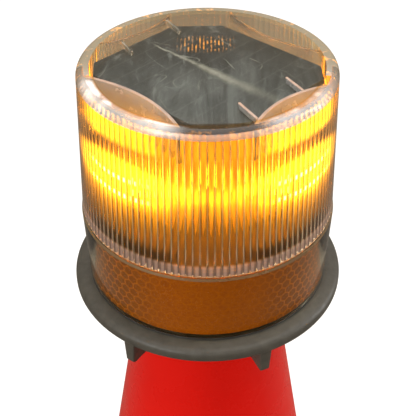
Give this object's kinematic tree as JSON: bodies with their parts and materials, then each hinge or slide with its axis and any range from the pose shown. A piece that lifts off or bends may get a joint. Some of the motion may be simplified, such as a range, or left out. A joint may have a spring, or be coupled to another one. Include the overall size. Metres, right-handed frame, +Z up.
{
  "type": "traffic barrier",
  "caption": "Free-standing traffic cone with a weighted base and a lift-off solar amber warning lamp seated on its tip.",
  "frame": {"origin": "centre of the square base's underside", "axes": "+Z up the cone's axis, -Y the side that faces the viewer, +X to the viewer's right"},
  "size_m": [0.36, 0.36, 0.796],
  "materials": {
    "base_rubber": "moulded matt",
    "cone_red": "glossy moulded",
    "grey_plastic": "moulded satin",
    "dark_plastic": "moulded satin",
    "amber_tape": "retroreflective film with hexagonal cells",
    "clear_plastic": "clear polycarbonate",
    "solar_laminate": "laminated solar cell",
    "white_plastic": "moulded satin",
    "circuit_board": "solder mask",
    "led_amber": "tinted epoxy",
    "steel": "zinc plated",
    "cell_wrap": "shrink sleeve",
    "wire_red": "insulated wire",
    "wire_black": "insulated wire"
  },
  "bodies": {
    "cone": {"cone_base": "base_rubber", "cone_body": "cone_red"},
    "lamp": {"lamp_base": "grey_plastic", "seal_ring": "base_rubber", "inner_drum": "dark_plastic", "reflective_band": "amber_tape", "lens": "clear_plastic", "solar_panel": "solar_laminate", "panel_carrier": "dark_plastic", "reflector_skirt": "white_plastic", "light_column": "white_plastic", "led_board_1": "circuit_board", "led_board_2": "circuit_board", "led_board_3": "circuit_board", "led_board_4": "circuit_board", "led_upper_1": "led_amber", "led_upper_2": "led_amber", "led_upper_3": "led_amber", "led_upper_4": "led_amber", "led_lower_1": "led_amber", "led_lower_2": "led_amber", "led_lower_3": "led_amber", "led_lower_4": "led_amber", "control_board": "circuit_board", "panel_lead_red": "wire_red", "panel_lead_black": "wire_black", "column_screw_1": "steel", "column_screw_2": "steel", "base_screw_1": "steel", "base_screw_2": "steel", "base_screw_3": "steel", "battery_tray": "dark_plastic", "battery_cell_1": "cell_wrap", "battery_cell_2": "cell_wrap", "battery_contact_1": "steel", "battery_contact_2": "steel", "battery_lead_red": "wire_red", "battery_lead_black": "wire_black", "switch_body": "dark_plastic", "switch_nut": "steel"},
    "button": {"switch_button": "base_rubber"}
  },
  "joints": [
    {"name": "lamp_lift", "type": "slide", "parent": "cone", "child": "lamp", "axis": [0, 0, 1], "range_m": [0, 0.08]},
    {"name": "switch_press", "type": "slide", "parent": "lamp", "child": "button", "axis": [0, 0, 1], "range_m": [0, 0.0015], "stiffness_N_per_m": 600, "springref_m": -0.001}
  ]
}
